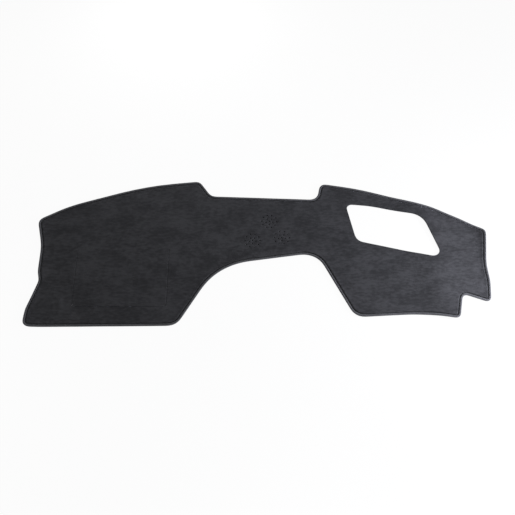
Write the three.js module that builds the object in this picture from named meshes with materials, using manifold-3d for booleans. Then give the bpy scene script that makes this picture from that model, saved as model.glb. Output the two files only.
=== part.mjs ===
// Dashboard cover mat: a flat sheet of needle-punched felt cut to the top of a dashboard, with a fabric tape
// folded and sewn round its outer edge. Millimetres, +Z up.
// The origin is the middle of the mat's length and depth, on the surface that the mat lies on.
// +X runs along the dashboard to the end with the window, +Y runs to the windscreen.
import * as THREE from 'three';
import { mergeVertices } from 'three/addons/utils/BufferGeometryUtils.js';
import Module from 'manifold-3d';

const wasm = await Module();
wasm.setup();

// Felt and tape
const feltThickness = 4;
const seamPress = 2.8;           // how much thinner the seam presses the felt's margin
const tapeThickness = 0.9;
const tapeWidth = 9;             // from the mat's outer edge to the tape's inner edge
const foldLoft = 1.6;            // how far the fold of the tape stands above its sewn lip
const contactGap = 0.3;

// Overall reach of the plan, from the origin
const leftReach = 710;
const rightReach = 710;
const frontReach = 266;
const backReach = 266;

// Left end, from its front corner round to its shoulder: how far up from the front edge, how far in from the end
const skirtHeight = 61;
const skirtInset = 3.5;
const nickHeight = 159;
const nickInset = 33;
const earHeight = 190;
const earInset = 26;
const waistHeight = 286;
const waistInset = 25.5;
const leftShoulderDrop = 152;    // down from the highest part of the back edge
const leftShoulderInset = 5;

// Left lobe and the bay in front of the instruments
const leftLobeWidth = 459;
const leftFrontRise = 4.3;
const bayRunLeft = 119;          // how far the bay's left side leans, measured along X
const bayTopLeft = 51.5;           // the bay's top at its left corner, in front of the origin
const bayTopRight = 6;
const bayRunRight = 110;

// Right lobe, its notch and its tab
const rightFrontReach = 233;
const rightLobeWidth = 313;
const notchReach = 239;          // the origin to the front edge beside the notch
const frontBowRun = 112;         // from the notch to the middle of the bowed front edge
const frontBowRise = 12;
const notchLean = 17;
const tabWidth = 83;
const tabSlope = 32.5;
const tabReach = 184.5;            // the origin to the tab's front corner
const tabInset = 13;
const kinkHeight = 73.5;           // up from the tab's front corner
const kinkInset = 7.5;
const rightWaistHeight = 135.5;
const rightWaistInset = 13;
const rightShoulderDrop = 193;
const rightBendInset = 158;
const rightBendDrop = 103;
const rightSlopeInset = 70;
const rightSlopeDrop = 149;

// Centre recess in the back edge, and the two arcs that fall away from it
const recessLeft = 158;
const recessRight = 183.5;
const recessDepthLeft = 59;
const recessDepthRight = 72.5;
const stepRunLeft = 39;
const stepRunRight = 10.5;
const rightCrestDrop = 8.5;
const leftArcRun = 171;
const leftArcDrop = 19;
const leftBendInset = 94;
const leftBendDrop = 98;
const rightArcRun = 124;
const rightArcDrop = 30;

// Corner radii
const endCornerRadius = 18;
const skirtRadius = 60;
const nickRadius = 25;
const waistRadius = 200;
const shoulderRadius = 24;
const longBendRadius = 700;
const longArcRadius = 900;
const frontBowRadius = 600;
const rightSlopeRadius = 300;
const recessTopRadius = 18;
const recessFootRadius = 26;
const bayFootRadius = 44;
const bayTopLeftRadius = 200;
const bayTopRightRadius = 68;
const notchRadius = 12;

// Window: a slanting opening with its own four sides, placed from the right end and from the back edge
const windowInset = 140;         // from the right end to the window's front right corner
const windowDrop = 87.5;           // from the back edge to the window's back left corner
const windowLengthBack = 242;
const windowLengthFront = 268;
const windowDepthLeft = 140.5;
const windowDepthRight = 162;
const windowSkew = 29;           // how far the front left corner lies to the right of the back left one
const windowBackFall = 45.5;       // how far the back edge falls from left to right
const windowBowRun = 80;
const windowBowFall = 8.2;
const windowTightRadius = 15;
const windowRightRadius = 22;
const windowLeftRadius = 32;
const windowOuterRadius = 60;
const windowBowRadius = 300;

// Airbag flap: slit on three sides, hinged on the felt at the back
const flapInset = 142;           // from the left end
const flapFrontMargin = 70;      // from the front edge
const flapWidth = 283;
const flapDepth = 203;
const flapCornerRadius = 10;
const slitWidth = 1.6;

// Three round groups of small holes over the loudspeaker: a hole, a ring of five and a ring of ten
const holeDiameter = 3.8;
const innerRingRadius = 11;
const innerRingHoles = 5;
const innerRingTurn = 54;        // degrees from +X to the first hole
const outerRingRadius = 23.6;
const outerRingHoles = 10;
const outerRingTurn = -2;
const holeGroups = [
  { x: 28, y: 110 },
  { x: -25, y: 38 },
  { x: 67, y: 49 },
];

// Relief: the flat sheet swells and curls a little at its right end and ripples along its left edge
const curlHeight = 10;
const curlWidth = 62;
const curlFadeFront = -190;      // y at which the curl has died away
const curlFadeBack = 40;         // y from which the curl has its full height
const swellHeight = 5;
const swellHalfWidth = 90;
const swellInset = 182;          // from the right end to the swell's crest, at the origin's y
const swellSlant = 0.17;         // how far the crest moves outwards for each millimetre towards the front
const rippleHeight = 5;
const rippleWidth = 70;
const ripplePitch = 185;
const ripplePeak = 112;          // y of the ripple's highest point

// How finely curved stretches are cut into facets
const arcError = 0.3;
const reliefStep = 15;
const reliefRowStep = 22;
const overhang = 5;              // how far the sheet reaches past the outline before it is trimmed
const noseFacets = 4;
const holeFacets = 8;
const slitFacets = 4;
const weldDistance = 1e-4;

const felt = new THREE.MeshStandardMaterial({ color: 0x2e2e32, roughness: 0.96, metalness: 0 });
const tape = new THREE.MeshStandardMaterial({ color: 0x26262a, roughness: 0.85, metalness: 0 });

// Heights of the edge, all worked out from the felt, the tape and the gap between them
const marginThickness = feltThickness - seamPress;
const marginBottom = tapeThickness + contactGap;
const marginTop = marginBottom + marginThickness;
const lipTop = marginTop + contactGap + tapeThickness;
const noseRadius = (lipTop + foldLoft) / 2;
const fieldInset = tapeWidth + contactGap;
const tightestCorner = fieldInset + 1;

// The stretch between these two x is exactly flat
const flatLeft = -leftReach + rippleWidth;
const flatRight = rightReach - swellInset - swellHalfWidth - swellSlant * backReach;

// The mat's height above the surface it lies on.
function relief(x, y) {
  const curlStart = rightReach - curlWidth;
  const curl = (Math.max(0, x - curlStart) / curlWidth) ** 2;
  const curlFade = THREE.MathUtils.smoothstep(y, curlFadeFront, curlFadeBack);
  const crest = rightReach - swellInset - swellSlant * y;
  const fromCrest = Math.min(1, Math.abs(x - crest) / swellHalfWidth);
  const swell = (1 + Math.cos(Math.PI * fromCrest)) / 2;
  const rippleStart = leftReach - rippleWidth;
  const edgeward = (Math.max(0, -x - rippleStart) / rippleWidth) ** 2;
  const ripple = (1 + Math.cos((2 * Math.PI * (y - ripplePeak)) / ripplePitch)) / 2;
  return curlHeight * curl * curlFade + swellHeight * swell + rippleHeight * edgeward * ripple;
}

function corner(x, y, radius) {
  return { at: new THREE.Vector2(x, y), radius };
}

// Rounds every corner of a closed outline that runs anticlockwise. Each point of the loop carries the
// direction that points into the felt.
function roundedLoop(corners) {
  const loop = [];
  corners.forEach(({ at, radius }, i) => {
    const before = corners.at(i - 1).at;
    const after = corners[(i + 1) % corners.length].at;
    const arriving = at.clone().sub(before);
    const leaving = after.clone().sub(at);
    const room = Math.min(arriving.length(), leaving.length()) / 2;
    arriving.normalize();
    leaving.normalize();
    const turn = Math.atan2(arriving.cross(leaving), arriving.dot(leaving));
    const half = Math.tan(Math.abs(turn) / 2);
    const wanted = turn > 0 ? Math.max(radius, tightestCorner) : radius;
    const rounded = Math.min(wanted, room / half);
    const start = at.clone().addScaledVector(arriving, -rounded * half);
    const inward = new THREE.Vector2(-arriving.y, arriving.x);
    const centre = start.clone().addScaledVector(inward, rounded * Math.sign(turn));
    const facet = 2 * Math.acos(1 - Math.min(arcError / rounded, 1));
    const facets = Math.max(1, Math.ceil(Math.abs(turn) / facet));
    for (let k = 0; k <= facets; k++) {
      const angle = (turn * k) / facets;
      const point = start.clone().rotateAround(centre, angle);
      loop.push({ point, inward: inward.clone().rotateAround(new THREE.Vector2(), angle) });
    }
  });
  return loop;
}

// Adds points along the straight stretches that cross the relief at the two ends.
function followRelief(loop) {
  const finer = [];
  loop.forEach(({ point, inward }, i) => {
    const next = loop[(i + 1) % loop.length].point;
    finer.push({ point, inward });
    const raised = Math.min(point.x, next.x) < flatLeft || Math.max(point.x, next.x) > flatRight;
    const pieces = raised ? Math.ceil(point.distanceTo(next) / reliefRowStep) : 1;
    for (let k = 1; k < pieces; k++) {
      finer.push({ point: point.clone().lerp(next, k / pieces), inward });
    }
  });
  return finer;
}

function outlineCorners() {
  const left = -leftReach;
  const front = -frontReach;
  const bayFootLeft = left + leftLobeWidth;
  const tabX = rightReach - tabInset;
  const notchInnerX = tabX - tabWidth;
  const notchOuterX = notchInnerX - notchLean;
  const bayFootRight = notchOuterX - rightLobeWidth;
  const stepTopLeft = -recessLeft - stepRunLeft;
  const stepTopRight = recessRight + stepRunRight;
  return [
    corner(left, front, endCornerRadius),
    corner(bayFootLeft, front + leftFrontRise, bayFootRadius),
    corner(bayFootLeft + bayRunLeft, -bayTopLeft, bayTopLeftRadius),
    corner(bayFootRight - bayRunRight, -bayTopRight, bayTopRightRadius),
    corner(bayFootRight, -rightFrontReach, bayFootRadius),
    corner(notchOuterX - frontBowRun, -rightFrontReach + frontBowRise, frontBowRadius),
    corner(notchOuterX, -notchReach, notchRadius),
    corner(notchInnerX, -tabReach + tabSlope, notchRadius),
    corner(tabX, -tabReach, notchRadius),
    corner(rightReach - kinkInset, -tabReach + kinkHeight, skirtRadius),
    corner(rightReach - rightWaistInset, -tabReach + rightWaistHeight, waistRadius),
    corner(rightReach, backReach - rightShoulderDrop, endCornerRadius),
    corner(rightReach - rightSlopeInset, backReach - rightSlopeDrop, rightSlopeRadius),
    corner(rightReach - rightBendInset, backReach - rightBendDrop, waistRadius),
    corner(stepTopRight + rightArcRun, backReach - rightArcDrop, longArcRadius),
    corner(stepTopRight, backReach - rightCrestDrop, recessTopRadius),
    corner(recessRight, backReach - recessDepthRight, recessFootRadius),
    corner(-recessLeft, backReach - recessDepthLeft, recessFootRadius),
    corner(stepTopLeft, backReach, recessTopRadius),
    corner(stepTopLeft - leftArcRun, backReach - leftArcDrop, longArcRadius),
    corner(left + leftBendInset, backReach - leftBendDrop, longBendRadius),
    corner(left + leftShoulderInset, backReach - leftShoulderDrop, shoulderRadius),
    corner(left + waistInset, front + waistHeight, waistRadius),
    corner(left + earInset, front + earHeight, skirtRadius),
    corner(left + nickInset, front + nickHeight, nickRadius),
    corner(left + skirtInset, front + skirtHeight, skirtRadius),
  ];
}

function windowCorners() {
  const frontRight = rightReach - windowInset;
  const frontLeft = frontRight - windowLengthFront;
  const backLeft = frontLeft - windowSkew;
  const back = backReach - windowDrop;
  const backRightY = back - windowBackFall;
  return [
    corner(backLeft, back, windowTightRadius),
    corner(frontLeft, back - windowDepthLeft, windowLeftRadius),
    corner(frontRight, backRightY - windowDepthRight, windowRightRadius),
    corner(backLeft + windowLengthBack, backRightY, windowOuterRadius),
    corner(backLeft + windowBowRun, back - windowBowFall, windowBowRadius),
  ];
}

function solidOf(geometry) {
  geometry.deleteAttribute('normal');
  geometry.deleteAttribute('uv');
  const merged = mergeVertices(geometry, weldDistance);
  return new wasm.Manifold(new wasm.Mesh({
    numProp: 3,
    vertProperties: new Float32Array(merged.attributes.position.array),
    triVerts: new Uint32Array(merged.index.array),
  }));
}

function geometryOf(solid) {
  const { vertProperties, triVerts } = solid.getMesh();
  const geometry = new THREE.BufferGeometry();
  geometry.setAttribute('position', new THREE.BufferAttribute(vertProperties, 3));
  geometry.setIndex(new THREE.BufferAttribute(triVerts, 1));
  return geometry;
}

// An upright block of a plan shape, tall enough to trim the whole sheet.
function trimmer(shape) {
  const below = 2 * tapeThickness;
  const above = lipTop + foldLoft + curlHeight + swellHeight + rippleHeight;
  const geometry = new THREE.ExtrudeGeometry(shape, { depth: below + above, bevelEnabled: false });
  return solidOf(geometry.translate(0, 0, -below));
}

function insetShape(loop, inset) {
  return new THREE.Shape(loop.map(({ point, inward }) => point.clone().addScaledVector(inward, inset)));
}

// A sheet that follows the relief, with its faces at the two given heights above it.
function reliefSheet(bottom, top) {
  const columns = [-leftReach - overhang];
  const leftSteps = Math.ceil(rippleWidth / reliefStep);
  const rightEnd = rightReach + overhang;
  const rightSteps = Math.ceil((rightEnd - flatRight) / reliefStep);
  for (let i = 0; i <= leftSteps; i++) {
    columns.push(-leftReach + (rippleWidth * i) / leftSteps);
  }
  for (let i = 0; i <= rightSteps; i++) {
    columns.push(flatRight + ((rightEnd - flatRight) * i) / rightSteps);
  }
  const front = -Math.max(frontReach, rightFrontReach, tabReach) - overhang;
  const depth = backReach + overhang - front;
  const rows = Math.ceil(depth / reliefRowStep);
  const geometry = new THREE.BoxGeometry(1, 1, 1, columns.length - 1, rows, 1);
  const position = geometry.attributes.position;
  for (let i = 0; i < position.count; i++) {
    const x = columns[Math.round((position.getX(i) + 0.5) * (columns.length - 1))];
    const y = front + (position.getY(i) + 0.5) * depth;
    const z = position.getZ(i) > 0 ? top : bottom;
    position.setXYZ(i, x, y, z + relief(x, y));
  }
  return solidOf(geometry);
}

// The U-shaped slit that frees the flap on three sides.
function slitShape() {
  const left = -leftReach + flapInset;
  const right = left + flapWidth;
  const front = -frontReach + flapFrontMargin;
  const back = front + flapDepth;
  const outer = flapCornerRadius + slitWidth;
  const inner = flapCornerRadius;
  const shape = new THREE.Shape();
  shape.moveTo(left - slitWidth, back);
  shape.absarc(left + inner, front + inner, outer, Math.PI, 1.5 * Math.PI);
  shape.absarc(right - inner, front + inner, outer, 1.5 * Math.PI, 2 * Math.PI);
  shape.lineTo(right + slitWidth, back);
  shape.lineTo(right, back);
  shape.absarc(right - inner, front + inner, inner, 0, -0.5 * Math.PI, true);
  shape.absarc(left + inner, front + inner, inner, 1.5 * Math.PI, Math.PI, true);
  shape.lineTo(left, back);
  return new THREE.Shape(shape.getPoints(slitFacets));
}

function ringOfHoles(count, radius, firstTurn) {
  return Array.from({ length: count }, (_, i) => {
    const angle = THREE.MathUtils.degToRad(firstTurn + (360 * i) / count);
    return new THREE.Vector2(radius * Math.cos(angle), radius * Math.sin(angle));
  });
}

function holeCutters() {
  const pattern = [
    new THREE.Vector2(),
    ...ringOfHoles(innerRingHoles, innerRingRadius, innerRingTurn),
    ...ringOfHoles(outerRingHoles, outerRingRadius, outerRingTurn),
  ];
  const height = 3 * feltThickness;
  return holeGroups.flatMap((group) => pattern.map((hole) => {
    const cutter = new THREE.CylinderGeometry(holeDiameter / 2, holeDiameter / 2, height, holeFacets);
    cutter.rotateX(Math.PI / 2);
    return solidOf(cutter.translate(group.x + hole.x, group.y + hole.y, 0));
  }));
}

// The felt: its full thickness inside the tape, and a thinner margin that the tape's fold grips.
function feltSolid(outline) {
  const field = reliefSheet(0, feltThickness).intersect(trimmer(insetShape(outline, fieldInset)));
  const margin = reliefSheet(marginBottom, marginTop).intersect(trimmer(insetShape(outline, noseRadius)));
  const windowLoop = followRelief(roundedLoop(windowCorners()));
  const cuts = [trimmer(insetShape(windowLoop, 0)), trimmer(slitShape()), ...holeCutters()];
  return cuts.reduce((sheet, cut) => sheet.subtract(cut), field.add(margin));
}

// The tape's section, a C that opens inwards: distance in from the mat's edge, height above the relief.
function tapeSection() {
  const arc = (radius) => Array.from({ length: noseFacets + 1 }, (_, i) => {
    const angle = Math.PI * (0.5 + i / noseFacets);
    return new THREE.Vector2(noseRadius + radius * Math.cos(angle), noseRadius + radius * Math.sin(angle));
  });
  const lining = arc(noseRadius - tapeThickness).reverse();
  return [
    new THREE.Vector2(tapeWidth, lipTop),
    ...arc(noseRadius),
    new THREE.Vector2(tapeWidth, 0),
    new THREE.Vector2(tapeWidth, tapeThickness),
    ...lining,
    new THREE.Vector2(tapeWidth, lipTop - tapeThickness),
  ];
}

// Carries a section round the whole edge of the mat and closes it on itself.
function edgeRing(outline, section) {
  const positions = [];
  const faces = [];
  outline.forEach(({ point, inward }, i) => {
    const next = (i + 1) % outline.length;
    section.forEach(({ x: inset, y: height }, j) => {
      const place = point.clone().addScaledVector(inward, inset);
      positions.push(place.x, place.y, height + relief(place.x, place.y));
      const nextJ = (j + 1) % section.length;
      const a = i * section.length + j;
      const b = i * section.length + nextJ;
      const c = next * section.length + nextJ;
      const d = next * section.length + j;
      faces.push(a, b, c, a, c, d);
    });
  });
  const geometry = new THREE.BufferGeometry();
  geometry.setAttribute('position', new THREE.Float32BufferAttribute(positions, 3));
  geometry.setIndex(faces);
  return geometry;
}

const outline = followRelief(roundedLoop(outlineCorners()));

const feltSheet = new THREE.Mesh(geometryOf(feltSolid(outline)), felt);
feltSheet.name = 'felt_sheet';

const edgeTape = new THREE.Mesh(edgeRing(outline, tapeSection()), tape);
edgeTape.name = 'edge_tape';

const mat = new THREE.Group();
mat.add(feltSheet, edgeTape);

export default mat;
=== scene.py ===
import math

import bmesh
import bpy
import numpy as np
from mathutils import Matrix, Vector, geometry, kdtree


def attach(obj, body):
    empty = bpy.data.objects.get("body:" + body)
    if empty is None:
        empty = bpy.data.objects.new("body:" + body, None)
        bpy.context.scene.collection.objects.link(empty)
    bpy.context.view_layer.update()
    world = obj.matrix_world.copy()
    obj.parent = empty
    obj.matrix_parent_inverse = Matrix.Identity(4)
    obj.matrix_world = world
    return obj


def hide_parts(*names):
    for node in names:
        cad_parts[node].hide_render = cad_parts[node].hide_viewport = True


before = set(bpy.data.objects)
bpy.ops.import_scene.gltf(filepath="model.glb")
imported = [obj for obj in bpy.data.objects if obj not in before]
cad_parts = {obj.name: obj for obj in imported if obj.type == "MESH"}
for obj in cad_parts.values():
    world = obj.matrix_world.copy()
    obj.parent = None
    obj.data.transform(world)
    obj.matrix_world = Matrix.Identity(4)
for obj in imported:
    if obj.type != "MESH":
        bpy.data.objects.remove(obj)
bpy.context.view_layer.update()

# Looks of the dashboard cover mat, in metres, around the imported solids: the felt sheet, its folded edge
# tape and the sewing thread that holds the tape.

MM = 0.001

# Tape, as in the solids
TAPE_THICKNESS = 0.9 * MM
FOLD_RADIUS = 2.6 * MM
LIP_TOP = 3.6 * MM

# Relief at the two ends, as in the solids
REACH = 710 * MM
CURL_HEIGHT, CURL_WIDTH = 10 * MM, 62 * MM
CURL_FADE_FRONT, CURL_FADE_BACK = -190 * MM, 40 * MM
SWELL_HEIGHT, SWELL_HALF_WIDTH = 5 * MM, 90 * MM
SWELL_INSET, SWELL_SLANT = 182 * MM, 0.17
RIPPLE_HEIGHT, RIPPLE_WIDTH = 5 * MM, 70 * MM
RIPPLE_PITCH, RIPPLE_PEAK = 185 * MM, 112 * MM

# Airbag flap, as in the solids
FLAP_LEFT, FLAP_RIGHT = -568 * MM, -285 * MM
FLAP_FRONT, FLAP_BACK = -196 * MM, 7 * MM

# How finely the cloth is modelled
GRID = 6 * MM
EDGE_STEP = 4 * MM
CUT_STEP = 3 * MM
HOLE_SIDES = 14
HOLE_SIDES_CLEAR = 3.2 * MM      # the even field of points keeps clear of each kind of rim by this much
SLIT_SIDES_CLEAR = 5.5 * MM
WINDOW_SIDES_CLEAR = 7 * MM
CREASE_SIDES_CLEAR = 8.5 * MM
MARGIN_CLEAR = 15 * MM
POINTS_APART = 0.3 * MM          # no loose point lies closer than this to a cut

# How the cut edges settle
SLIT_CLOSED_BY = 0.67 * MM       # how far each side of the slit springs back towards the other
HOLE_NARROWS_TO = 0.15           # fibres close each perforation to this share of its width below
HOLE_REACH = 2.5 * MM            # how far round a perforation the fibres are drawn
CUT_SOFTNESS = 0.9 * MM          # radius and drop of the soft upper edge along a cut
FLAP_EDGE_RISE, FLAP_MIDDLE_RISE = 0.2 * MM, 3.9 * MM
HINGE_CREASE_HEIGHT, HINGE_CREASE_HALF_WIDTH = 0.35 * MM, 3.0 * MM

# Sewing
STITCH_PITCH = 4.6 * MM
STITCH_LENGTH = 3.9 * MM
THREAD = 0.75 * MM
SEAM_INSET = 7.4 * MM            # from the mat's edge to the line of stitches
UPPER_SEAM_HEIGHT = 2.95 * MM
LOWER_SEAM_HEIGHT = 0.42 * MM
SEAM_PULL = 0.10 * MM            # how far the stitches draw the tape's upper lip up and down
PULL_REACH = 1.6 * MM

# Camera
CAMERA_DISTANCE = 3.0
CAMERA_ELEVATION = 58.5
CAMERA_TARGET = (-8.7 * MM, -21.7 * MM, 0)
FRAME_PIXELS = 515
FOCAL_PIXELS = 966.2
SENSOR = 36.0

# Light
WORLD_STRENGTH = 0.13
FLOOR_WHITENESS = 0.95           # how far the floor is plain white where it is seen
SEEN_AS_WHITE = ("Is Camera Ray", "Is Glossy Ray", "Is Transmission Ray")


def smoothstep(low, high, value):
    t = np.clip((value - low) / (high - low), 0, 1)
    return t * t * (3 - 2 * t)


def relief(x, y):
    """Height of the mat's underside above the floor where the solids have it."""
    curl = (np.maximum(0, x - (REACH - CURL_WIDTH)) / CURL_WIDTH) ** 2
    crest = REACH - SWELL_INSET - SWELL_SLANT * y
    swell = (1 + np.cos(np.pi * np.minimum(1, np.abs(x - crest) / SWELL_HALF_WIDTH))) / 2
    edgeward = (np.maximum(0, -x - (REACH - RIPPLE_WIDTH)) / RIPPLE_WIDTH) ** 2
    ripple = (1 + np.cos(2 * np.pi * (y - RIPPLE_PEAK) / RIPPLE_PITCH)) / 2
    return (CURL_HEIGHT * curl * smoothstep(CURL_FADE_FRONT, CURL_FADE_BACK, y)
            + SWELL_HEIGHT * swell + RIPPLE_HEIGHT * edgeward * ripple)


def slack(x, y):
    """The soft unevenness of a cloth sheet that lies loose: long shallow waves, never below the floor."""
    waves = (np.sin(x * 31 + y * 14 + 0.8) + np.sin(x * 17 - y * 37 + 2.1)
             + np.sin(x * 58 + y * 23 + 4.0) * 0.5 + np.sin(y * 71 - x * 9) * 0.4)
    return 0.16 * MM * (2.9 + waves)


# Loops in plan

def rim_loops(node):
    """The closed loops in which a solid's upward faces meet its upright walls, as arrays of x, y, z."""
    mesh = bmesh.new()
    mesh.from_mesh(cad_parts[node].data)
    bmesh.ops.remove_doubles(mesh, verts=mesh.verts, dist=0.01 * MM)
    bmesh.ops.dissolve_degenerate(mesh, edges=mesh.edges, dist=0.005 * MM)
    neighbours = {}
    for edge in mesh.edges:
        if len(edge.link_faces) != 2:
            continue
        flat = sorted((face.normal.z for face in edge.link_faces), key=abs)
        if abs(flat[0]) < 0.3 and flat[1] > 0.8:
            a, b = edge.verts
            neighbours.setdefault(a, []).append(b)
            neighbours.setdefault(b, []).append(a)
    loops = []
    while neighbours:
        start = next(iter(neighbours))
        loop = [start]
        while True:
            onward = [v for v in neighbours.get(loop[-1], []) if v in neighbours and v not in loop[-2:]]
            onward = [v for v in onward if v not in loop or v is start]
            if not onward or onward[0] is start:
                break
            loop.append(onward[0])
        for vert in loop:
            neighbours.pop(vert, None)
        loops.append(np.array([v.co[:] for v in loop]))
    mesh.free()
    return loops


def signed_area(loop):
    after = np.roll(loop, -1, axis=0)
    return ((loop[:, 0] * after[:, 1] - after[:, 0] * loop[:, 1]).sum()) / 2


def anticlockwise(loop):
    return loop if signed_area(loop) > 0 else loop[::-1]


def run_lengths(loop):
    """How far each point of a closed loop is along it, and at the end the length of it all."""
    closed = np.vstack([loop, loop[:1]])
    return np.concatenate([[0], np.cumsum(np.linalg.norm(np.diff(closed, axis=0), axis=1))])


def resample(loop, step):
    """Points about a step apart, evenly spaced round a closed loop."""
    closed = np.vstack([loop, loop[:1]])
    along = run_lengths(loop)
    count = max(8, round(along[-1] / step))
    at = np.linspace(0, along[-1], count, endpoint=False)
    return np.column_stack([np.interp(at, along, closed[:, k]) for k in (0, 1)])


def divide(loop, step):
    """Adds points along the sides of a loop and keeps its corners."""
    points = []
    for a, b in zip(loop, np.roll(loop, -1, axis=0)):
        pieces = max(1, math.ceil(np.linalg.norm(b - a) / step))
        points += [a + (b - a) * k / pieces for k in range(pieces)]
    return np.array(points)


def rounded(loop, rounds):
    for _ in range(rounds):
        loop = (np.roll(loop, 1, axis=0) + 2 * loop + np.roll(loop, -1, axis=0)) / 4
    return loop


def inward(loop):
    """Unit directions that point to the left of a loop's run, so into an anticlockwise one."""
    run = np.roll(loop, -1, axis=0) - np.roll(loop, 1, axis=0)
    run /= np.linalg.norm(run, axis=1)[:, None]
    return np.column_stack([-run[:, 1], run[:, 0]])


def offset(loop, distance):
    return loop + inward(loop) * distance


def distance_to(points, loops):
    """How far each point lies from the nearest of some loops."""
    dense = np.vstack([divide(loop, 1 * MM) for loop in loops])
    tree = kdtree.KDTree(len(dense))
    for i, (x, y) in enumerate(dense):
        tree.insert((x, y, 0), i)
    tree.balance()
    return np.array([tree.find((x, y, 0))[2] for x, y in points])


def inside(points, loop):
    """Whether each point lies inside a loop, by counting the sides that it has on its right."""
    result = np.zeros(len(points), bool)
    px, py = points[:, 0], points[:, 1]
    for (ax, ay), (bx, by) in zip(loop, np.roll(loop, -1, axis=0)):
        crosses = (ay > py) != (by > py)
        if crosses.any():
            at = ax + (py[crosses] - ay) * (bx - ax) / (by - ay)
            result[crosses] ^= px[crosses] < at
    return result


class Rims:
    """The felt's outlines, read from its solid: the hidden margin, the window, the flap's slit, the holes."""

    def __init__(self):
        loops = [anticlockwise(loop[:, :2]) for loop in rim_loops("felt_sheet") if len(loop) > 5]
        loops.sort(key=lambda loop: -signed_area(loop))
        self.margin = rounded(resample(loops[0], EDGE_STEP), 3)
        small = [loop for loop in loops if signed_area(loop) < 20 * MM * MM]
        middle = [loop for loop in loops if 20 * MM * MM < signed_area(loop) < 0.1]
        self.window = rounded(resample(middle[0], CUT_STEP), 4)
        self.slit = divide(offset(middle[1], SLIT_CLOSED_BY), CUT_STEP)
        self.holes = [self.round_hole(loop) for loop in small]

    @staticmethod
    def round_hole(loop):
        centre = loop.mean(axis=0)
        radius = np.linalg.norm(loop - centre, axis=1).mean()
        turn = np.linspace(0, 2 * np.pi, HOLE_SIDES, endpoint=False)
        return centre + radius * np.column_stack([np.cos(turn), np.sin(turn)])

    @property
    def edge(self):
        """The outer edge of the whole mat."""
        return offset(self.margin, -FOLD_RADIUS)


rims = Rims()


# Mesh pieces

def mesh_piece(name, points, faces, finish, smooth_under=40):
    mesh = bpy.data.meshes.new(name)
    mesh.from_pydata([tuple(p) for p in points], [], [tuple(f) for f in faces])
    mesh.polygons.foreach_set("use_smooth", [True] * len(mesh.polygons))
    mesh.set_sharp_from_angle(angle=math.radians(smooth_under))
    mesh.materials.append(finish)
    mesh.update()
    piece = bpy.data.objects.new(name, mesh)
    bpy.context.scene.collection.objects.link(piece)
    return piece


def flap_lift(x, y):
    """The flap's free front edge stands a little proud of the sheet, most of all at its middle."""
    across = np.clip((x - FLAP_LEFT) / (FLAP_RIGHT - FLAP_LEFT), 0, 1)
    down = np.clip((FLAP_BACK - y) / (FLAP_BACK - FLAP_FRONT), 0, 1)
    on_flap = (x > FLAP_LEFT) & (x < FLAP_RIGHT) & (y > FLAP_FRONT) & (y < FLAP_BACK)
    bulge = np.exp(-((across - 0.50) / 0.20) ** 2)
    return np.where(on_flap, (FLAP_EDGE_RISE + FLAP_MIDDLE_RISE * bulge) * down ** 6, 0)


def hinge_crease(x, y):
    """A shallow fold line where the flap bends, between the two upper ends of its slit."""
    fade = 20 * MM
    from_left = smoothstep(FLAP_LEFT, FLAP_LEFT + fade, x)
    to_right = 1 - smoothstep(FLAP_RIGHT - fade, FLAP_RIGHT, x)
    profile = np.exp(-((y - FLAP_BACK) / HINGE_CREASE_HALF_WIDTH) ** 2)
    return HINGE_CREASE_HEIGHT * from_left * to_right * profile


SMALL_FOLDS = [
    # centre x, centre y, half length along Y, half width along X, height
    (-645 * MM, 8 * MM, 26 * MM, 8 * MM, 1.1 * MM),
    (-606 * MM, -186 * MM, 24 * MM, 7 * MM, 1.2 * MM),
    (-662 * MM, -60 * MM, 34 * MM, 10 * MM, 1.0 * MM),
    (655 * MM, -40 * MM, 70 * MM, 12 * MM, 1.0 * MM),
]


def small_folds(x, y):
    total = np.zeros_like(x)
    for cx, cy, half_length, half_width, height in SMALL_FOLDS:
        total += height * np.exp(-((x - cx) / half_width) ** 2 - ((y - cy) / half_length) ** 2)
    return total


def sheet_points():
    """Plan points of the felt: its rims, rows of points beside them, and an even field between."""
    outer_rows = [offset(rims.margin, d * MM) for d in (2.6, 4.2, 5.2, 6.2, 6.8, 7.2, 7.8, 8.8, 10.5, 13.5)]
    window_rows = [offset(rims.window, -d * MM) for d in (0.35, 0.9, 2.2, 4.5)]
    slit_rows = [offset(rims.slit, -d * MM) for d in (0.5, 1.4, 3.2)]
    hole_rows = [offset(hole, -d * MM) for hole in rims.holes for d in (0.35, 1.1)]
    crease_x = np.arange(FLAP_LEFT + 12 * MM, FLAP_RIGHT - 10 * MM, EDGE_STEP)
    crease_rows = [np.column_stack([crease_x, np.full(len(crease_x), FLAP_BACK + d * MM)])
                   for d in (-6, -3.5, -1.5, 0, 1.5, 3.5, 6)]
    rows = np.vstack(outer_rows + window_rows + slit_rows + hole_rows + crease_rows)
    low, high = rims.margin.min(axis=0), rims.margin.max(axis=0)
    field = []
    for j, y in enumerate(np.arange(low[1], high[1], GRID * math.sqrt(3) / 2)):
        xs = np.arange(low[0] + (j % 2) * GRID / 2, high[0], GRID)
        field.append(np.column_stack([xs, np.full(len(xs), y)]))
    field = np.vstack(field)
    cuts = [rims.window, rims.slit] + rims.holes
    field = field[inside(field, rims.margin)]
    field = field[distance_to(field, [rims.margin]) > MARGIN_CLEAR]
    field = field[distance_to(field, [rims.window]) > WINDOW_SIDES_CLEAR]
    field = field[distance_to(field, [rims.slit]) > SLIT_SIDES_CLEAR]
    field = field[distance_to(field, rims.holes) > HOLE_SIDES_CLEAR]
    on_crease = ((np.abs(field[:, 1] - FLAP_BACK) < CREASE_SIDES_CLEAR)
                 & (field[:, 0] > FLAP_LEFT + GRID) & (field[:, 0] < FLAP_RIGHT - GRID))
    field = field[~on_crease]
    loose = np.vstack([rows, field])
    loose = loose[inside(loose, offset(rims.margin, 1 * MM))]
    clear = distance_to(loose, cuts) > POINTS_APART
    return loose[clear], [rims.margin] + cuts


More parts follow.
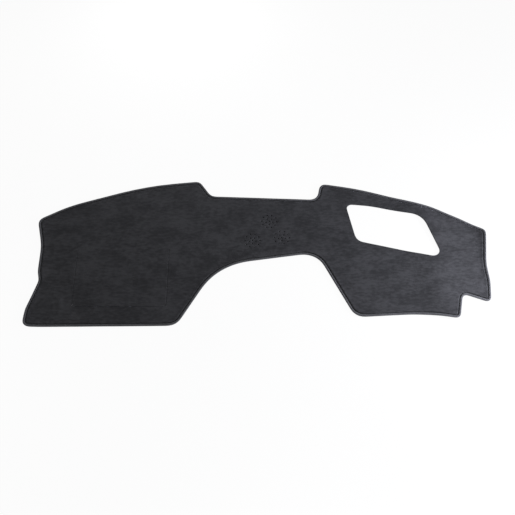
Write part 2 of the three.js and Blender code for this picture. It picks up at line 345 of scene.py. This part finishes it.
def triangulated(loose, loops):
    """A triangle mesh in plan that keeps every loop as a rim and leaves the holes open."""
    points = [Vector(p) for p in np.vstack(loops + [loose])]
    edges = []
    start = 0
    for loop in loops:
        count = len(loop)
        edges += [(start + i, start + (i + 1) % count) for i in range(count)]
        start += count
    verts, _, faces, *_ = geometry.delaunay_2d_cdt(points, edges, [], 0, 0.01 * MM)
    verts = np.array([v[:] for v in verts])
    faces = np.array([f for f in faces if len(f) == 3])
    middle = verts[faces].mean(axis=1)
    keep = inside(middle, loops[0])
    for loop in loops[1:]:
        keep &= ~inside(middle, loop)
    faces = faces[keep]
    a, b, c = (verts[faces[:, k]] for k in range(3))
    turned = (b[:, 0] - a[:, 0]) * (c[:, 1] - a[:, 1]) - (b[:, 1] - a[:, 1]) * (c[:, 0] - a[:, 0]) < 0
    faces[turned] = faces[turned][:, ::-1]
    used = np.unique(faces)
    place = np.full(len(verts), -1)
    place[used] = np.arange(len(used))
    return verts[used], place[faces]


# The felt's upper face beside the edge, in millimetres: distance from its margin, height
MARGIN_STEPS = [0, 2.6, 3.6, 4.6, 5.2, 5.8, 6.4, 6.8, 7.2, 7.8, 8.8, 10.5, 14, 20]
MARGIN_TOPS = [3.4, 3.2, 2.7, 1.9, 1.65, 1.75, 2.1, 2.9, 3.8, 4.5, 4.9, 4.8, 4.3, 4.0]


def narrowed(plan):
    """Plan points of the underside: as above, but each perforation is drawn together by its fibres."""
    centres = np.array([hole.mean(axis=0) for hole in rims.holes])
    radius = np.linalg.norm(rims.holes[0][0] - centres[0])
    apart = plan[:, None, :] - centres[None, :, :]
    away = np.linalg.norm(apart, axis=2)
    nearest = away.argmin(axis=1)
    away = away[np.arange(len(plan)), nearest]
    step = apart[np.arange(len(plan)), nearest]
    pull = radius * (1 - HOLE_NARROWS_TO) * np.clip(1 - (away - radius) / HOLE_REACH, 0, 1)
    return plan - step / np.maximum(away, 0.1 * MM)[:, None] * pull[:, None]


def felt_sheet(finish):
    """The felt: pressed thin under the tape, plump beside the seam, and soft at every cut edge."""
    plan, faces = triangulated(*sheet_points())
    x, y = plan[:, 0], plan[:, 1]
    from_margin = distance_to(plan, [rims.margin]) / MM
    from_cut = distance_to(plan, [rims.window, rims.slit] + rims.holes) / CUT_SOFTNESS
    top = np.interp(from_margin, MARGIN_STEPS, MARGIN_TOPS) * MM
    bottom = np.interp(from_margin, [0, 6.3, 7.7, 8.7], [1.1, 1.0, 0.3, 0.0]) * MM
    lip = 1 - np.sqrt(1 - (1 - np.clip(from_cut, 0, 1)) ** 2)
    lift = relief(x, y) + slack(x, y) + flap_lift(x, y) + small_folds(x, y)
    top = top + lift - CUT_SOFTNESS * lip + hinge_crease(x, y)
    bottom = bottom + lift
    count = len(plan)
    points = np.vstack([np.column_stack([plan, top]), np.column_stack([narrowed(plan), bottom])])
    ends = np.concatenate([faces[:, [0, 1]], faces[:, [1, 2]], faces[:, [2, 0]]])
    both = {tuple(e) for e in ends}
    rim = np.array([e for e in ends if (e[1], e[0]) not in both])
    walls = np.column_stack([rim[:, 0], rim[:, 0] + count, rim[:, 1] + count, rim[:, 1]])
    all_faces = [tuple(face) for face in faces]
    all_faces += [tuple(face[::-1] + count) for face in faces]
    all_faces += [tuple(wall) for wall in walls]
    return mesh_piece("felt_sheet_cloth", points, all_faces, finish, smooth_under=55)


def tape_profile(steps):
    """The tape's closed section from its stitched upper lip round the fold to the lower lip and back inside.
    """
    turn = np.linspace(0.5 * np.pi, 1.5 * np.pi, steps)
    fold = FOLD_RADIUS + FOLD_RADIUS * np.column_stack([np.cos(turn), np.sin(turn)])
    inner = FOLD_RADIUS - TAPE_THICKNESS
    lining = FOLD_RADIUS + inner * np.column_stack([np.cos(turn), np.sin(turn)])[::-1]
    lip = np.array([8.95, 8.4, 7.8, 7.3, 6.7, 6.0, 4.9, 3.7]) * MM
    dip = np.array([3.2, 3.0, 2.75, 2.85, 3.75, 4.55, 5.1, 5.28]) * MM
    upper = np.column_stack([lip, dip])
    floor = np.array([[4.5, 0], [6.9, 0.0], [7.4, 0.12], [7.9, 0.0], [8.95, 0.1]]) * MM
    back = np.array([[8.95, 0.85], [6.0, 0.85]]) * MM
    ceiling = np.array([[5.0, 3.6], [6.4, 2.6], [7.7, 1.85], [8.95, 2.3]]) * MM
    return np.vstack([upper, fold, floor, back, lining, ceiling])


def edge_tape(finish):
    """The tape folded over the felt's edge, carried round the whole mat, with its own map for the weave."""
    route = resample(rims.edge, EDGE_STEP)
    route = rounded(route, 1)
    inwards = inward(route)
    section = tape_profile(9)
    length = run_lengths(route)
    girth = run_lengths(section)
    rings, across = len(route), len(section)
    place = route[:, None, :] + inwards[:, None, :] * section[None, :, :1]
    x, y = place[..., 0], place[..., 1]
    pull = SEAM_PULL * np.sin(2 * np.pi * length[:-1] / (STITCH_PITCH * 2.3))[:, None]
    near_lip = np.exp(-((section[:, 0] - SEAM_INSET) / PULL_REACH) ** 2) * (section[:, 1] > LIP_TOP / 2)
    z = section[None, :, 1] + relief(x, y) + slack(x, y) + pull * near_lip[None]
    points = np.stack([x, y, z], axis=2).reshape(-1, 3)
    faces = []
    for i in range(rings):
        for j in range(across):
            ahead, beside = (i + 1) % rings, (j + 1) % across
            faces.append((i * across + j, i * across + beside, ahead * across + beside, ahead * across + j))
    piece = mesh_piece("edge_tape_cloth", points, faces, finish, smooth_under=60)
    chart = piece.data.uv_layers.new(name="tape_chart")
    corner = 0
    for i in range(rings):
        for j in range(across):
            for along, round_ in ((i, j), (i, j + 1), (i + 1, j + 1), (i + 1, j)):
                chart.data[corner].uv = (length[along], girth[round_])
                corner += 1
    return piece


def stitch_tree():
    """Geometry nodes that set short stitches end to end along a closed line."""
    tree = bpy.data.node_groups.new("run_of_stitches", "GeometryNodeTree")
    face = tree.interface
    face.new_socket("Geometry", in_out="INPUT", socket_type="NodeSocketGeometry")
    sockets = {}
    for name in ("Pitch", "Stitch length", "Thread"):
        sockets[name] = face.new_socket(name, in_out="INPUT", socket_type="NodeSocketFloat").identifier
    sockets["Finish"] = face.new_socket("Finish", in_out="INPUT", socket_type="NodeSocketMaterial").identifier
    face.new_socket("Geometry", in_out="OUTPUT", socket_type="NodeSocketGeometry")

    def node(kind, **settings):
        made = tree.nodes.new(kind)
        for key, value in settings.items():
            setattr(made, key, value)
        return made

    def link(a, b):
        tree.links.new(a, b)

    start = node("NodeGroupInput")
    curve = node("GeometryNodeMeshToCurve")
    even = node("GeometryNodeResampleCurve", mode="LENGTH")
    tangent = node("GeometryNodeInputTangent")
    keep = node("GeometryNodeCaptureAttribute", domain="POINT")
    keep.capture_items.new("VECTOR", "Run")
    aim = node("FunctionNodeAlignRotationToVector", axis="X")
    bead = node("GeometryNodeMeshUVSphere")
    bead.inputs["Segments"].default_value = 6
    bead.inputs["Rings"].default_value = 4
    bead.inputs["Radius"].default_value = 0.5
    size = node("ShaderNodeCombineXYZ")
    set_on = node("GeometryNodeInstanceOnPoints")
    real = node("GeometryNodeRealizeInstances")
    dress = node("GeometryNodeSetMaterial")
    end = node("NodeGroupOutput")
    link(start.outputs["Geometry"], curve.inputs["Mesh"])
    link(curve.outputs["Curve"], even.inputs["Curve"])
    link(start.outputs["Pitch"], even.inputs["Length"])
    link(even.outputs["Curve"], keep.inputs["Geometry"])
    link(tangent.outputs["Tangent"], keep.inputs["Run"])
    link(keep.outputs["Run"], aim.inputs["Vector"])
    link(keep.outputs["Geometry"], set_on.inputs["Points"])
    link(bead.outputs["Mesh"], set_on.inputs["Instance"])
    link(aim.outputs["Rotation"], set_on.inputs["Rotation"])
    link(start.outputs["Stitch length"], size.inputs["X"])
    link(start.outputs["Thread"], size.inputs["Y"])
    link(start.outputs["Thread"], size.inputs["Z"])
    link(size.outputs["Vector"], set_on.inputs["Scale"])
    link(set_on.outputs["Instances"], real.inputs["Geometry"])
    link(real.outputs["Geometry"], dress.inputs["Geometry"])
    link(start.outputs["Finish"], dress.inputs["Material"])
    link(dress.outputs["Geometry"], end.inputs["Geometry"])
    return tree, sockets


def run_of_stitches(name, height, finish, tree, sockets):
    """One side of the seam: stitches along the tape at the given height above the relief."""
    route = rounded(resample(offset(rims.edge, SEAM_INSET), 2 * MM), 3)
    z = height + relief(route[:, 0], route[:, 1]) + slack(route[:, 0], route[:, 1])
    line = bpy.data.meshes.new(name + "_line")
    count = len(route)
    line.from_pydata([(*p, h) for p, h in zip(route, z)], [(i, (i + 1) % count) for i in range(count)], [])
    carrier = bpy.data.objects.new(name + "_line", line)
    bpy.context.scene.collection.objects.link(carrier)
    sewing = carrier.modifiers.new("sewing", "NODES")
    sewing.node_group = tree
    sewing[sockets["Pitch"]] = STITCH_PITCH
    sewing[sockets["Stitch length"]] = STITCH_LENGTH
    sewing[sockets["Thread"]] = THREAD
    sewing[sockets["Finish"]] = finish
    graph = bpy.context.evaluated_depsgraph_get()
    mesh = bpy.data.meshes.new_from_object(carrier.evaluated_get(graph))
    bpy.data.objects.remove(carrier)
    mesh.polygons.foreach_set("use_smooth", [True] * len(mesh.polygons))
    piece = bpy.data.objects.new(name, mesh)
    bpy.context.scene.collection.objects.link(piece)
    return piece


# Finishes

class Value:
    """A number that changes over a surface, written as ordinary arithmetic."""

    def __init__(self, finish, socket):
        self.finish, self.socket = finish, socket

    def maths(self, operation, *terms):
        settings = {"operation": operation}
        return self.finish.node("ShaderNodeMath", settings, dict(enumerate(terms)))

    def __add__(self, other):
        return self.maths("ADD", self, other)

    def __sub__(self, other):
        return self.maths("SUBTRACT", self, other)

    def __mul__(self, other):
        return self.maths("MULTIPLY", self, other)

    __radd__ = __add__
    __rmul__ = __mul__


class Finish:
    """A procedural material on one Principled shader."""

    def __init__(self, name, **constants):
        self.material = bpy.data.materials.new(name)
        self.material.use_nodes = True
        self.tree = self.material.node_tree
        self.shader = self.tree.nodes["Principled BSDF"]
        for key, value in constants.items():
            self.shader.inputs[key.replace("_", " ")].default_value = value

    def node(self, kind, settings=None, sockets=None, output=0):
        made = self.tree.nodes.new(kind)
        for key, value in (settings or {}).items():
            setattr(made, key, value)
        for key, value in (sockets or {}).items():
            self.connect(made.inputs[key], value)
        return Value(self, made.outputs[output])

    def connect(self, socket, value):
        if isinstance(value, Value):
            self.tree.links.new(value.socket, socket)
        else:
            socket.default_value = value

    def set(self, name, value):
        self.connect(self.shader.inputs[name], value)

    def place(self):
        return self.node("ShaderNodeTexCoord", output="Object")

    def stretched(self, place, scale):
        return self.node("ShaderNodeMapping", None, {"Vector": place, "Scale": scale})

    def noise(self, place, scale, detail=2.0, roughness=0.5):
        return self.node("ShaderNodeTexNoise", None,
                         {"Vector": place, "Scale": scale, "Detail": detail, "Roughness": roughness})

    def ramp(self, value, low, high):
        return self.node("ShaderNodeMapRange", {"interpolation_type": "SMOOTHSTEP"},
                         {"Value": value, "From Min": low, "From Max": high})

    def mix(self, amount, a, b):
        return self.node("ShaderNodeMix", {"data_type": "RGBA"}, {0: amount, 6: a, 7: b}, output=2)

    def bump(self, height, distance, strength=1.0):
        self.set("Normal", self.node("ShaderNodeBump", None,
                                     {"Height": height, "Distance": distance, "Strength": strength}))


def felt_finish():
    """Charcoal needle felt: fine crossed fibres, a faint grain along the mat, and a mottled nap."""
    felt = Finish("charcoal_needle_felt", Specular_IOR_Level=0.11, Sheen_Weight=0.18, Sheen_Roughness=0.45)
    felt.shader.inputs["Sheen Tint"].default_value = (0.80, 0.82, 0.95, 1)
    place = felt.place()
    fibres = felt.noise(felt.stretched(place, (0.30, 1, 1)), 900, 4, 0.62)
    cross_fibres = felt.noise(felt.stretched(place, (1, 0.34, 1)), 760, 3, 0.6)
    grain = felt.noise(felt.stretched(place, (0.45, 1, 1)), 150, 3, 0.5)
    nap = felt.noise(felt.stretched(place, (0.5, 1, 1)), 34, 3, 0.5)
    patches = felt.noise(felt.stretched(place, (0.6, 1, 1)), 15, 2, 0.5)
    tone = grain * 0.50 + fibres * 0.20 + nap * 0.30
    shade = felt.ramp(tone + (patches - 0.5) * 0.35, 0.34, 0.66)
    felt.set("Base Color", felt.mix(shade, (0.0190, 0.0190, 0.0200, 1), (0.0415, 0.0415, 0.0440, 1)))
    felt.set("Roughness", 0.88 + fibres * 0.10)
    felt.bump(fibres * 0.45 + cross_fibres * 0.25 + grain * 0.50 + nap * 0.35, 0.9 * MM, 0.8)
    return felt.material


def tape_finish():
    """Black edging tape: a close diagonal weave that follows the tape round the mat. Its colour holds painted
    light: a lighter copy with a painted highlight on the rounded fold, and a darker copy with painted shade
    on the stitched-down strip in the seam's groove.
    """
    tape = Finish("woven_edging_tape", Specular_IOR_Level=0.15, Sheen_Weight=0.12, Sheen_Roughness=0.4)
    chart = tape.node("ShaderNodeUVMap", {"uv_map": "tape_chart"})
    along = tape.node("ShaderNodeSeparateXYZ", None, {0: chart}, output=0)
    across = tape.node("ShaderNodeSeparateXYZ", None, {0: chart}, output=1)
    twill = tape.node("ShaderNodeMath", {"operation": "SINE"}, {0: (along + across * 0.8) * 7400})
    yarns = tape.node("ShaderNodeMath", {"operation": "SINE"}, {0: across * 9200})
    fuzz = tape.noise(tape.place(), 1300, 3, 0.6)
    rub = tape.noise(tape.place(), 60, 3, 0.55)
    weave = twill * 0.5 + yarns * 0.25
    shade = tape.ramp(weave * 0.35 + fuzz * 0.5 + rub * 0.5, 0.2, 0.85)
    # The rounded fold: the tape's black lightened by a painted highlight (sheen) where the fold catches the
    # light.
    fold_painted_highlight = tape.mix(shade, (0.042, 0.042, 0.045, 1), (0.086, 0.086, 0.092, 1))
    # The stitched-down strip beside the seam: the tape's black darkened by painted shade for the seam's
    # groove.
    seam_strip_painted_shade = tape.mix(shade, (0.006, 0.006, 0.007, 1), (0.013, 0.013, 0.014, 1))
    # Painted light across the tape: painted shade up to 2.4 mm round the section from the lip's inner end,
    # painted highlight from 3.6 mm on.
    painted_highlight_share = tape.ramp(across, 2.4 * MM, 3.6 * MM)
    tape.set("Base Color", tape.mix(painted_highlight_share, seam_strip_painted_shade, fold_painted_highlight))
    tape.set("Roughness", 0.72 + fuzz * 0.16)
    tape.bump(weave * 0.5 + fuzz * 0.3, 0.16 * MM, 0.6)
    return tape.material


def thread_finish():
    """Black sewing thread with its two plies."""
    thread = Finish("black_sewing_thread", Specular_IOR_Level=0.4)
    place = thread.place()
    twist = thread.node("ShaderNodeTexWave", {"bands_direction": "DIAGONAL"},
                        {"Vector": place, "Scale": 900.0, "Distortion": 1.5})
    fuzz = thread.noise(place, 2200, 2, 0.5)
    thread.set("Base Color", thread.mix(fuzz, (0.016, 0.016, 0.018, 1), (0.040, 0.040, 0.043, 1)))
    thread.set("Roughness", 0.6 + fuzz * 0.2)
    thread.bump(twist + fuzz * 0.4, 0.12 * MM, 0.6)
    return thread.material


# Stage, light and camera

def floor_finish():
    """Pale floor that looks white to the camera and still takes a soft part of the mat's shadow."""
    floor = Finish("pale_floor", Specular_IOR_Level=0.1, Roughness=0.9)
    floor.shader.inputs["Base Color"].default_value = (0.82, 0.82, 0.82, 1)
    tree = floor.tree
    glow = tree.nodes.new("ShaderNodeEmission")
    glow.inputs["Strength"].default_value = 1.0
    path = tree.nodes.new("ShaderNodeLightPath")
    looks = [Value(floor, path.outputs[name]) for name in SEEN_AS_WHITE]
    seen = looks[0].maths("MAXIMUM", looks[0], looks[1])
    seen = seen.maths("MAXIMUM", seen, looks[2])
    mix = tree.nodes.new("ShaderNodeMixShader")
    floor.connect(mix.inputs[0], seen * FLOOR_WHITENESS)
    tree.links.new(floor.shader.outputs[0], mix.inputs[1])
    tree.links.new(glow.outputs[0], mix.inputs[2])
    tree.links.new(mix.outputs[0], tree.nodes["Material Output"].inputs["Surface"])
    return floor.material


def floor():
    half = 9.0
    corners = [(-half, -half, 0), (half, -half, 0), (half, half, 0), (-half, half, 0)]
    piece = mesh_piece("floor", corners, [(0, 1, 2, 3)], floor_finish())
    piece.location.z = -0.3 * MM


def soft_lamp(name, location, size, power, aim, colour=(1, 1, 1)):
    light = bpy.data.lights.new(name, "AREA")
    light.color = colour
    light.shape = "DISK"
    light.size = size
    light.energy = power
    lamp = bpy.data.objects.new(name, light)
    lamp.visible_camera = False
    lamp.location = location
    lamp.rotation_euler = (Vector(aim) - Vector(location)).to_track_quat("-Z", "Y").to_euler()
    bpy.context.scene.collection.objects.link(lamp)


def white_world(tree, strength):
    """A world that lights the mat at the given strength and is plain white where it is seen."""
    dim = tree.nodes["Background"]
    dim.inputs["Color"].default_value = (1, 1, 1, 1)
    dim.inputs["Strength"].default_value = strength
    white = tree.nodes.new("ShaderNodeBackground")
    white.inputs["Color"].default_value = (1, 1, 1, 1)
    white.inputs["Strength"].default_value = 1.0
    path = tree.nodes.new("ShaderNodeLightPath")
    seen = path.outputs[SEEN_AS_WHITE[0]]
    for name in SEEN_AS_WHITE[1:]:
        either = tree.nodes.new("ShaderNodeMath")
        either.operation = "MAXIMUM"
        tree.links.new(seen, either.inputs[0])
        tree.links.new(path.outputs[name], either.inputs[1])
        seen = either.outputs[0]
    choice = tree.nodes.new("ShaderNodeMixShader")
    tree.links.new(seen, choice.inputs[0])
    tree.links.new(dim.outputs[0], choice.inputs[1])
    tree.links.new(white.outputs[0], choice.inputs[2])
    tree.links.new(choice.outputs[0], tree.nodes["World Output"].inputs["Surface"])


def lighting():
    world = bpy.data.worlds.new("studio")
    world.use_nodes = True
    white_world(world.node_tree, WORLD_STRENGTH)
    bpy.context.scene.world = world
    soft_lamp("right_low", (1.35, -0.2, 0.32), 0.35, 23.5, (0.45, -0.05, 0), (0.89, 0.90, 1.0))
    soft_lamp("right_high", (0.95, -0.25, 0.62), 0.4, 4.6, (0.45, -0.05, 0), (0.89, 0.91, 1.0))
    soft_lamp("back", (-0.3, 1.1, 0.42), 0.6, 5.6, (-0.25, 0.1, 0))
    soft_lamp("left", (-1.15, -0.5, 0.45), 0.5, 1.6, (-0.4, -0.1, 0))
    soft_lamp("front", (0.4, -1.5, 0.3), 0.6, 11.0, (0.1, 0, 0))


def camera():
    lens = bpy.data.cameras.new("camera")
    lens.sensor_width = SENSOR
    lens.lens = FOCAL_PIXELS / FRAME_PIXELS * SENSOR
    lens.clip_end = 50
    eye = bpy.data.objects.new("camera", lens)
    rise = math.radians(CAMERA_ELEVATION)
    target = Vector(CAMERA_TARGET)
    eye.location = target + CAMERA_DISTANCE * Vector((0, -math.cos(rise), math.sin(rise)))
    eye.rotation_euler = (target - eye.location).to_track_quat("-Z", "Y").to_euler()
    bpy.context.scene.collection.objects.link(eye)
    bpy.context.scene.camera = eye


def dress():
    thread = thread_finish()
    felt = felt_sheet(felt_finish())
    tape = edge_tape(tape_finish())
    tree, sockets = stitch_tree()
    upper = run_of_stitches("seam_thread_top", UPPER_SEAM_HEIGHT, thread, tree, sockets)
    lower = run_of_stitches("seam_thread_under", LOWER_SEAM_HEIGHT, thread, tree, sockets)
    for piece in (felt, tape, upper, lower):
        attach(piece, "root")
    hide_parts("felt_sheet")
    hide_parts("edge_tape")


bpy.context.scene.view_settings.view_transform = "Standard"
camera()
lighting()
floor()
dress()
